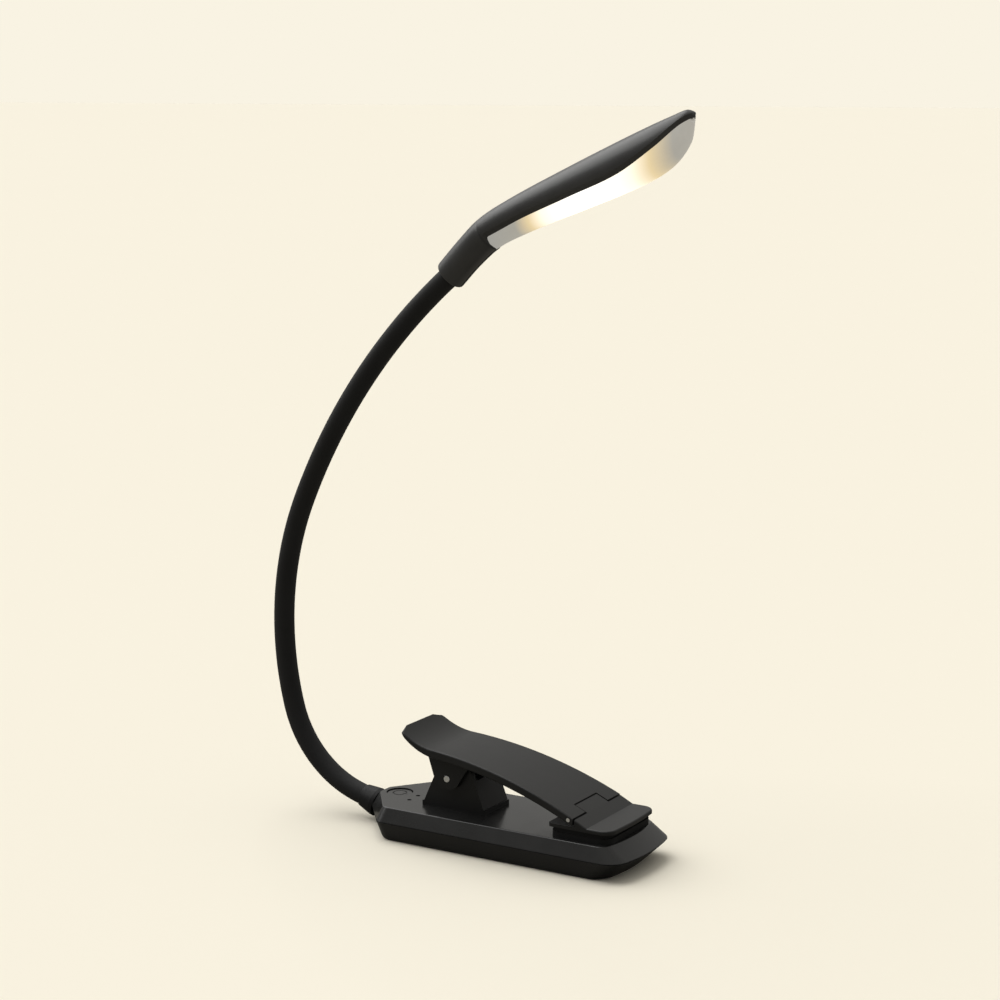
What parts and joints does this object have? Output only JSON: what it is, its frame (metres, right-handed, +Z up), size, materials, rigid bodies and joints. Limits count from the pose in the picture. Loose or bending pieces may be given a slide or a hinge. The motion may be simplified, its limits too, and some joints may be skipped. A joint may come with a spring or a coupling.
{
  "type": "clip on reading lamp",
  "caption": "Battery reading lamp: flat clip base with a spring lever and jaw, a bendable gooseneck and a slim lamp head with a milky diffuser.",
  "frame": {"origin": "centre of the base's flat underside", "axes": "+Z up; +X along the base from the neck collar towards the clip's mouth; y = 0 is the plane that holds the neck and the head"},
  "size_m": [0.1465, 0.036, 0.2217],
  "materials": {
    "base_casing": "moulded, soft gloss, fine texture",
    "clip_plastic": "moulded, satin",
    "collar": "moulded, satin",
    "head_casing": "moulded, satin",
    "neck_sleeve": "matte silicone",
    "neck_core": "drawn wire",
    "grip_rubber": "matte, ribbed",
    "pin_steel": "polished",
    "spring_steel": "oiled wire",
    "steel": "plated",
    "diffuser": "milky, satin",
    "circuit_board": "green solder mask",
    "led_board": "white solder mask",
    "led": "phosphor under clear resin",
    "chip": "moulded epoxy",
    "indicator_window": "smoked, clear",
    "battery_pouch": "laminated foil",
    "lead_insulation": "PVC insulation"
  },
  "bodies": {
    "base": {"base_top_shell": "base_casing", "base_bottom_shell": "base_casing", "case_screws": "steel", "board_screws": "steel", "bracket_screws": "steel", "main_circuit_board": "circuit_board", "usb_socket": "steel", "tact_switch": "steel", "controller_chip": "chip", "indicator_leds": "led", "indicator_lenses": "indicator_window", "battery": "battery_pouch", "battery_leads": "lead_insulation", "hinge_bracket": "clip_plastic", "hinge_pin": "pin_steel", "torsion_spring": "spring_steel", "base_grip_pad": "grip_rubber", "neck_collar": "collar", "neck_anchor": "steel", "neck_sleeve_0": "neck_sleeve", "neck_core_0": "neck_core"},
    "button": {"power_button": "base_casing"},
    "lever": {"clip_lever": "clip_plastic", "jaw_pin": "pin_steel"},
    "jaw": {"jaw_shoe": "clip_plastic", "jaw_pad": "grip_rubber"},
    "neck_link_1": {"neck_sleeve_1": "neck_sleeve", "neck_core_1": "neck_core"},
    "neck_link_2": {"neck_sleeve_2": "neck_sleeve", "neck_core_2": "neck_core"},
    "neck_link_3": {"neck_sleeve_3": "neck_sleeve", "neck_core_3": "neck_core"},
    "neck_link_4": {"neck_sleeve_4": "neck_sleeve", "neck_core_4": "neck_core"},
    "neck_link_5": {"neck_sleeve_5": "neck_sleeve", "neck_core_5": "neck_core"},
    "neck_link_6": {"neck_sleeve_6": "neck_sleeve", "neck_core_6": "neck_core"},
    "neck_link_7": {"neck_sleeve_7": "neck_sleeve", "neck_core_7": "neck_core"},
    "head": {"neck_sleeve_8": "neck_sleeve", "neck_core_8": "neck_core", "head_shell": "head_casing", "diffuser": "diffuser", "led_board": "led_board", "leds": "led", "head_ferrule": "steel"}
  },
  "joints": [
    {"name": "neck_bend_1", "type": "hinge", "parent": "base", "child": "neck_link_1", "pos_m": [-0.06108, 0, 0.00994], "axis": [0, 1, 0], "range_deg": [-22, 22]},
    {"name": "neck_swing_2", "type": "hinge", "parent": "neck_link_1", "child": "neck_link_2", "pos_m": [-0.07759, 0, 0.02673], "axis": [-0.9044, 0, -0.4266], "range_deg": [-22, 22]},
    {"name": "neck_bend_3", "type": "hinge", "parent": "neck_link_2", "child": "neck_link_3", "pos_m": [-0.08286, 0, 0.05004], "axis": [0, 1, 0], "range_deg": [-22, 22]},
    {"name": "neck_swing_4", "type": "hinge", "parent": "neck_link_3", "child": "neck_link_4", "pos_m": [-0.08221, 0, 0.07398], "axis": [-0.9896, 0, 0.1441], "range_deg": [-22, 22]},
    {"name": "neck_bend_5", "type": "hinge", "parent": "neck_link_4", "child": "neck_link_5", "pos_m": [-0.07601, 0, 0.09711], "axis": [0, 1, 0], "range_deg": [-22, 22]},
    {"name": "neck_swing_6", "type": "hinge", "parent": "neck_link_5", "child": "neck_link_6", "pos_m": [-0.06547, 0, 0.11865], "axis": [-0.8691, 0, 0.4947], "range_deg": [-22, 22]},
    {"name": "neck_bend_7", "type": "hinge", "parent": "neck_link_6", "child": "neck_link_7", "pos_m": [-0.05235, 0, 0.13873], "axis": [0, 1, 0], "range_deg": [-22, 22]},
    {"name": "neck_swing_8", "type": "hinge", "parent": "neck_link_7", "child": "head", "pos_m": [-0.03686, 0, 0.15704], "axis": [-0.7226, 0, 0.6913], "range_deg": [-22, 22]},
    {"name": "clip_hinge", "type": "hinge", "parent": "base", "child": "lever", "pos_m": [-0.0167, 0, 0.0201], "axis": [0, -1, 0], "range_deg": [0, 28], "stiffness_Nm_per_rad": 0.12, "springref_deg": -51.57, "deforming": ["torsion_spring"]},
    {"name": "jaw_pivot", "type": "hinge", "parent": "lever", "child": "jaw", "pos_m": [0.029, 0, 0.0163], "axis": [0, -1, 0], "range_deg": [-12, 0]},
    {"name": "button_press", "type": "slide", "parent": "base", "child": "button", "axis": [0, 0, -1], "range_m": [0, 0.0004], "stiffness_N_per_m": 400}
  ],
  "couplings": [
    {"joint": "jaw_pivot", "follows": "clip_hinge", "ratio": -0.4}
  ]
}
